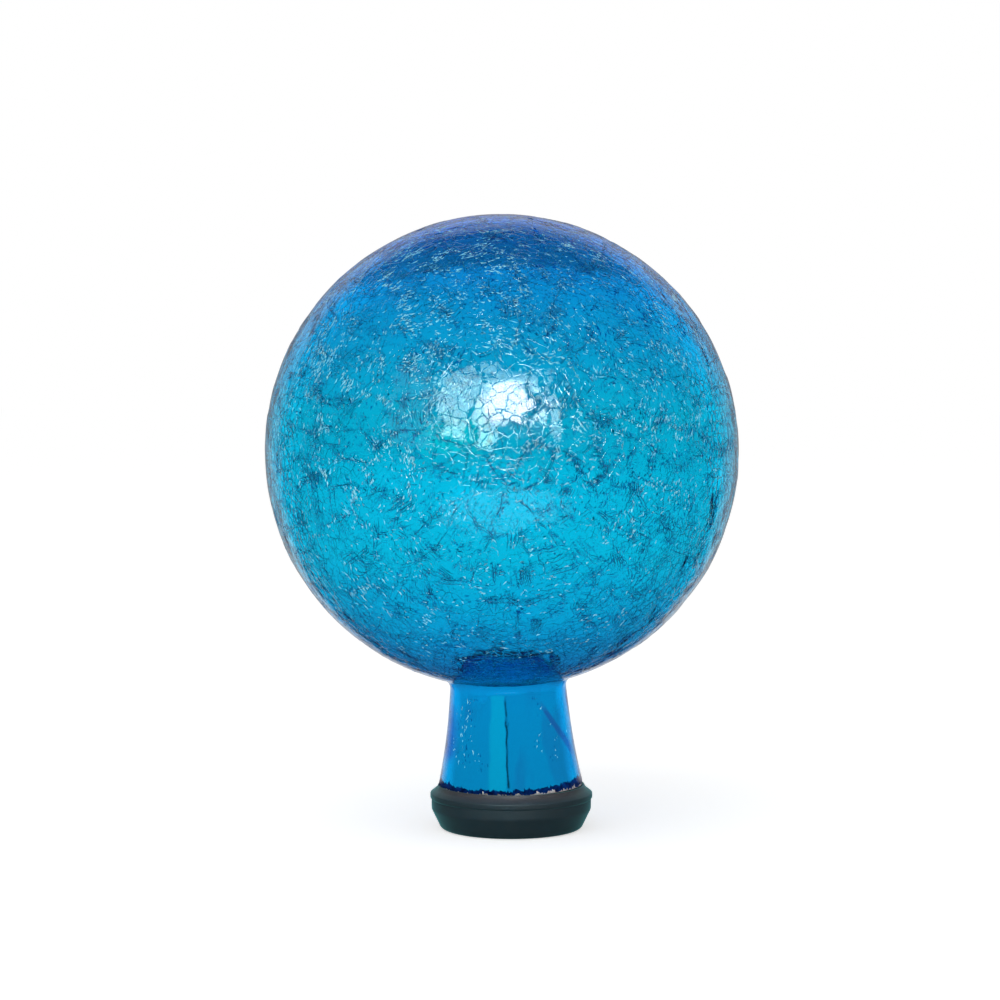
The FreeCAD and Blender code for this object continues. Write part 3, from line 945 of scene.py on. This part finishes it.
def make_softbox():
    """An upright panel before the globe: panes between dark bars, a bulb behind and a dark shape in front."""
    left, right, low, high = -0.34, 0.34, 0.22, 0.71
    lamp = panel("softbox", right - left, high - low, 1.0)
    lamp.location = ((left + right) / 2, -0.6, (low + high) / 2)
    lamp.rotation_euler = (math.pi / 2, 0, 0)
    lamp.visible_diffuse = False
    lamp.data.use_nodes = True
    lamp.data.node_tree.nodes.clear()
    n = Nodes(lamp.data.node_tree)
    x, _, z = n.split(n.position())
    rough = n.math("SUBTRACT", n.noise(n.position(), 14.0, 3.0), 0.5)
    across = n.math("MULTIPLY_ADD", rough, 0.02, n.math("DIVIDE", n.math("SUBTRACT", x, left), right - left))
    up = n.math("MULTIPLY_ADD", rough, 0.08, n.math("DIVIDE", n.math("SUBTRACT", z, low), high - low))
    panes = n.grey_ramp(across, [
        (0.04, 0.0), (0.09, 1.0), (0.296, 1.0), (0.304, 0.0), (0.340, 0.0), (0.348, 1.0),
        (0.768, 1.0), (0.776, 0.0), (0.812, 0.0), (0.820, 0.8), (0.85, 0.6), (0.89, 0.0),
    ])
    height = n.grey_ramp(up, [(0.08, 0.0), (0.12, 1.0), (0.45, 1.0), (0.88, 0.5), (0.94, 0.0)])
    lobe = n.grey_ramp(n.oval(-0.05, 0.27, 2, 0.045, 0.04), [(0.40, 1.0), (0.55, 0.0)])
    bulb = n.oval(0.058, 0.438, 2, 0.13, 0.10)
    bulb = n.grey_ramp(bulb, [(0.0, 1.0), (0.38, 0.9), (0.60, 0.25), (0.85, 0.0)])
    shape = n.grey_ramp(n.oval(0.10, 0.28, 2, 0.135, 0.08), [(0.42, 0.95), (0.52, 0.0)])
    pale = n.math("MULTIPLY", n.math("MULTIPLY", panes, height), 7.5)
    bright = n.math("MULTIPLY", bulb, n.math("MULTIPLY_ADD", panes, 12.0, 3.0))
    strength = n.math("MULTIPLY", n.math("ADD", pale, bright), n.math("SUBTRACT", 1.0, shape))
    strength = n.math("MAXIMUM", strength, n.math("MULTIPLY", lobe, 15.0))
    colour = n.mix_colour(bulb, (0.80, 1.07, 1.04, 1), (1.1, 1.0, 1.0, 1))
    colour = n.mix_colour(lobe, colour, (0.55, 1.0, 1.0, 1))
    glow = n.add("ShaderNodeEmission", {"Color": colour, "Strength": strength})
    n.add("ShaderNodeOutputLight", {"Surface": glow.outputs[0]})


make_world()
make_floor()
make_softbox()
card = lamp_towards_globe("card_left", -51, -30, 3, 34, 0.65, 0.4)
card.visible_diffuse = False
fill = lamp_towards_globe("fill", -45, 5, 25, 75, 2.0, 1.2)
fill.visible_glossy = False

# Camera
camera_data = bpy.data.cameras.new("camera")
camera_data.lens = 86.92
camera_data.sensor_width = 36
camera_data.shift_x = -0.0113
camera_data.shift_y = 0.0233
camera = bpy.data.objects.new("camera", camera_data)
camera.location = (0, -1.300, 0.232)
camera.rotation_euler = (math.radians(87.05), 0, 0)
bpy.context.scene.collection.objects.link(camera)
bpy.context.scene.camera = camera
bpy.context.scene.view_settings.view_transform = "Standard"
